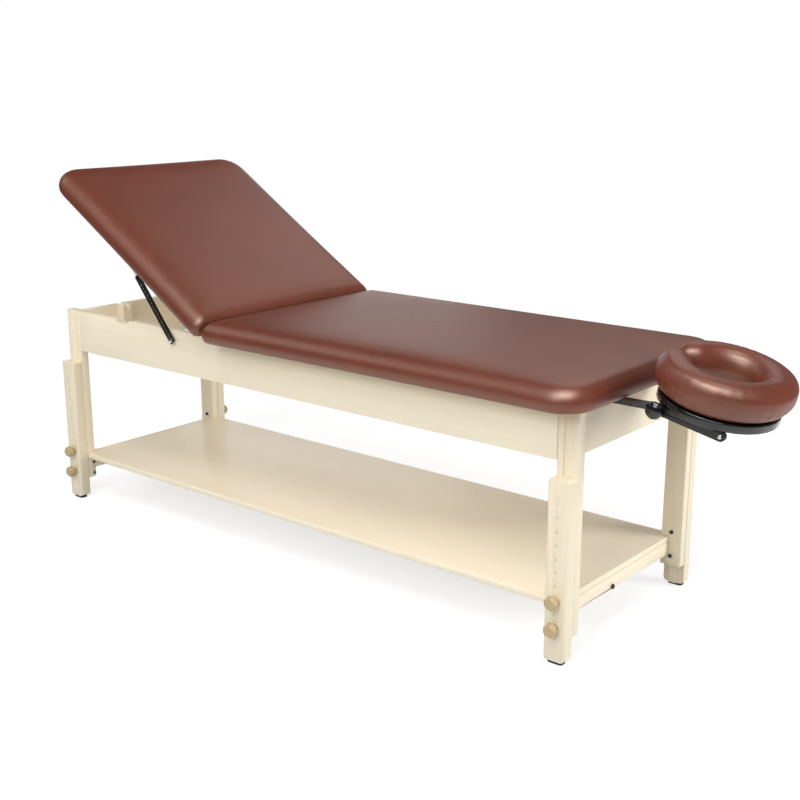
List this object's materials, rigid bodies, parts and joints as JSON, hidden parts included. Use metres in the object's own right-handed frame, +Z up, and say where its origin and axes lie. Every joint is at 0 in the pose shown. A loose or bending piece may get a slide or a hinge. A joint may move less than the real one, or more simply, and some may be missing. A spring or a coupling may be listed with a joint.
{
  "type": "massage table",
  "caption": "Wooden massage table with padded top, lifting back section on telescopic stays, full-length shelf, height-adjustable legs and a tilting face cradle.",
  "frame": {"origin": "floor point below the middle of the overall bounding box at rest", "axes": "+X along the table towards the face cradle, +Y from the front side to the back side, +Z up"},
  "size_m": [2.152, 0.69, 1.0115],
  "materials": {
    "frame_wood": "cream painted hardwood, satin, faint grain",
    "knob_wood": "turned tan hardwood, fluted, satin",
    "deck_ply": "bare plywood",
    "brown_leather": "reddish brown upholstery leather over foam, soft sheen",
    "foot_rubber": "black rubber",
    "black_steel": "black powder coat",
    "black_plastic": "black moulded plastic, satin",
    "grey_steel": "dark grey painted bar",
    "bright_steel": "bright zinc plated steel"
  },
  "bodies": {
    "frame": {"post_front_left": "frame_wood", "post_front_right": "frame_wood", "post_back_left": "frame_wood", "post_back_right": "frame_wood", "apron_front": "frame_wood", "apron_back": "frame_wood", "end_apron_left": "frame_wood", "end_apron_right": "frame_wood", "stretcher_left": "frame_wood", "stretcher_right": "frame_wood", "shelf": "frame_wood", "main_deck": "deck_ply", "main_pad": "brown_leather", "hinge_leaf_fixed": "bright_steel", "stay_pivot_bolt_front": "bright_steel", "stay_pivot_bolt_back": "bright_steel", "stretcher_bolt": "black_steel", "leg_bolt_front_left_lower": "black_steel", "leg_bolt_front_left_upper": "black_steel", "leg_bolt_front_right_lower": "black_steel", "leg_bolt_front_right_upper": "black_steel", "leg_bolt_back_left_lower": "black_steel", "leg_bolt_back_left_upper": "black_steel", "leg_bolt_back_right_lower": "black_steel", "leg_bolt_back_right_upper": "black_steel"},
    "back_section": {"back_deck": "deck_ply", "back_pad": "brown_leather", "hinge_leaf_moving": "bright_steel", "stay_bracket_front": "black_steel", "stay_bracket_back": "black_steel"},
    "stay_channel_front": {"stay_channel_front": "black_steel"},
    "stay_bar_front": {"stay_bar_front": "black_steel"},
    "stay_channel_back": {"stay_channel_back": "black_steel"},
    "stay_bar_back": {"stay_bar_back": "black_steel"},
    "leg_front_left": {"leg_front_left": "frame_wood", "foot_front_left": "foot_rubber"},
    "leg_front_right": {"leg_front_right": "frame_wood", "foot_front_right": "foot_rubber"},
    "leg_back_left": {"leg_back_left": "frame_wood", "foot_back_left": "foot_rubber"},
    "leg_back_right": {"leg_back_right": "frame_wood", "foot_back_right": "foot_rubber"},
    "knob_front_left_lower": {"knob_front_left_lower": "knob_wood"},
    "knob_front_left_upper": {"knob_front_left_upper": "knob_wood"},
    "knob_front_right_lower": {"knob_front_right_lower": "knob_wood"},
    "knob_front_right_upper": {"knob_front_right_upper": "knob_wood"},
    "knob_back_left_lower": {"knob_back_left_lower": "knob_wood"},
    "knob_back_left_upper": {"knob_back_left_upper": "knob_wood"},
    "knob_back_right_lower": {"knob_back_right_lower": "knob_wood"},
    "knob_back_right_upper": {"knob_back_right_upper": "knob_wood"},
    "cradle_arms": {"cradle_arm_front": "grey_steel", "cradle_arm_back": "grey_steel", "cradle_pivot_rod": "bright_steel"},
    "cradle_platform": {"cradle_rail_front": "black_steel", "cradle_rail_back": "black_steel", "cradle_rail_bolt_front": "bright_steel", "cradle_rail_bolt_back": "bright_steel", "cradle_plate": "black_plastic", "face_cushion": "brown_leather"},
    "cradle_knob": {"cradle_knob": "black_plastic"}
  },
  "joints": [
    {"name": "back_tilt", "type": "hinge", "parent": "frame", "child": "back_section", "pos_m": [-0.39642, 0, 0.612], "axis": [0, 1, 0], "range_deg": [-32.2, 10]},
    {"name": "stay_swing_front", "type": "hinge", "parent": "frame", "child": "stay_channel_front", "pos_m": [-0.58652, -0.277, 0.56], "axis": [0, 1, 0], "range_deg": [-47.4, 15]},
    {"name": "stay_slide_front", "type": "slide", "parent": "stay_channel_front", "child": "stay_bar_front", "axis": [-0.6307, 0, 0.776], "range_m": [-0.0765, 0.0242]},
    {"name": "stay_swing_back", "type": "hinge", "parent": "frame", "child": "stay_channel_back", "pos_m": [-0.58652, 0.277, 0.56], "axis": [0, 1, 0], "range_deg": [-47.4, 15]},
    {"name": "stay_slide_back", "type": "slide", "parent": "stay_channel_back", "child": "stay_bar_back", "axis": [-0.6307, 0, 0.776], "range_m": [-0.0765, 0.0242]},
    {"name": "leg_slide_front_left", "type": "slide", "parent": "frame", "child": "leg_front_left", "axis": [0, 0, -1], "range_m": [0, 0.22575]},
    {"name": "leg_slide_front_right", "type": "slide", "parent": "frame", "child": "leg_front_right", "axis": [0, 0, -1], "range_m": [0, 0.22575]},
    {"name": "leg_slide_back_left", "type": "slide", "parent": "frame", "child": "leg_back_left", "axis": [0, 0, -1], "range_m": [0, 0.22575]},
    {"name": "leg_slide_back_right", "type": "slide", "parent": "frame", "child": "leg_back_right", "axis": [0, 0, -1], "range_m": [0, 0.22575]},
    {"name": "turn_knob_front_left_lower", "type": "hinge", "parent": "frame", "child": "knob_front_left_lower", "pos_m": [-1.04802, -0.3123, 0.0885], "axis": [0, 1, 0], "continuous": true},
    {"name": "turn_knob_front_left_upper", "type": "hinge", "parent": "frame", "child": "knob_front_left_upper", "pos_m": [-1.04802, -0.3123, 0.153], "axis": [0, 1, 0], "continuous": true},
    {"name": "turn_knob_front_right_lower", "type": "hinge", "parent": "frame", "child": "knob_front_right_lower", "pos_m": [0.70198, -0.3123, 0.0885], "axis": [0, 1, 0], "continuous": true},
    {"name": "turn_knob_front_right_upper", "type": "hinge", "parent": "frame", "child": "knob_front_right_upper", "pos_m": [0.70198, -0.3123, 0.153], "axis": [0, 1, 0], "continuous": true},
    {"name": "turn_knob_back_left_lower", "type": "hinge", "parent": "frame", "child": "knob_back_left_lower", "pos_m": [-1.04802, 0.3123, 0.0885], "axis": [0, 1, 0], "continuous": true},
    {"name": "turn_knob_back_left_upper", "type": "hinge", "parent": "frame", "child": "knob_back_left_upper", "pos_m": [-1.04802, 0.3123, 0.153], "axis": [0, 1, 0], "continuous": true},
    {"name": "turn_knob_back_right_lower", "type": "hinge", "parent": "frame", "child": "knob_back_right_lower", "pos_m": [0.70198, 0.3123, 0.0885], "axis": [0, 1, 0], "continuous": true},
    {"name": "turn_knob_back_right_upper", "type": "hinge", "parent": "frame", "child": "knob_back_right_upper", "pos_m": [0.70198, 0.3123, 0.153], "axis": [0, 1, 0], "continuous": true},
    {"name": "cradle_slide", "type": "slide", "parent": "frame", "child": "cradle_arms", "axis": [1, 0, 0], "range_m": [0, 0.12]},
    {"name": "cradle_tilt", "type": "hinge", "parent": "cradle_arms", "child": "cradle_platform", "pos_m": [0.82998, 0, 0.577], "axis": [0, 1, 0], "range_deg": [-5, 30]},
    {"name": "cradle_knob_turn", "type": "hinge", "parent": "cradle_arms", "child": "cradle_knob", "pos_m": [0.82998, -0.135, 0.577], "axis": [0, 1, 0], "continuous": true}
  ],
  "couplings": [
    {"joint": "stay_swing_front", "follows": "back_tilt", "ratio": 1.46},
    {"joint": "stay_slide_front", "follows": "back_tilt", "m_per_rad": 0.135},
    {"joint": "stay_swing_back", "follows": "back_tilt", "ratio": 1.46},
    {"joint": "stay_slide_back", "follows": "back_tilt", "m_per_rad": 0.135}
  ]
}
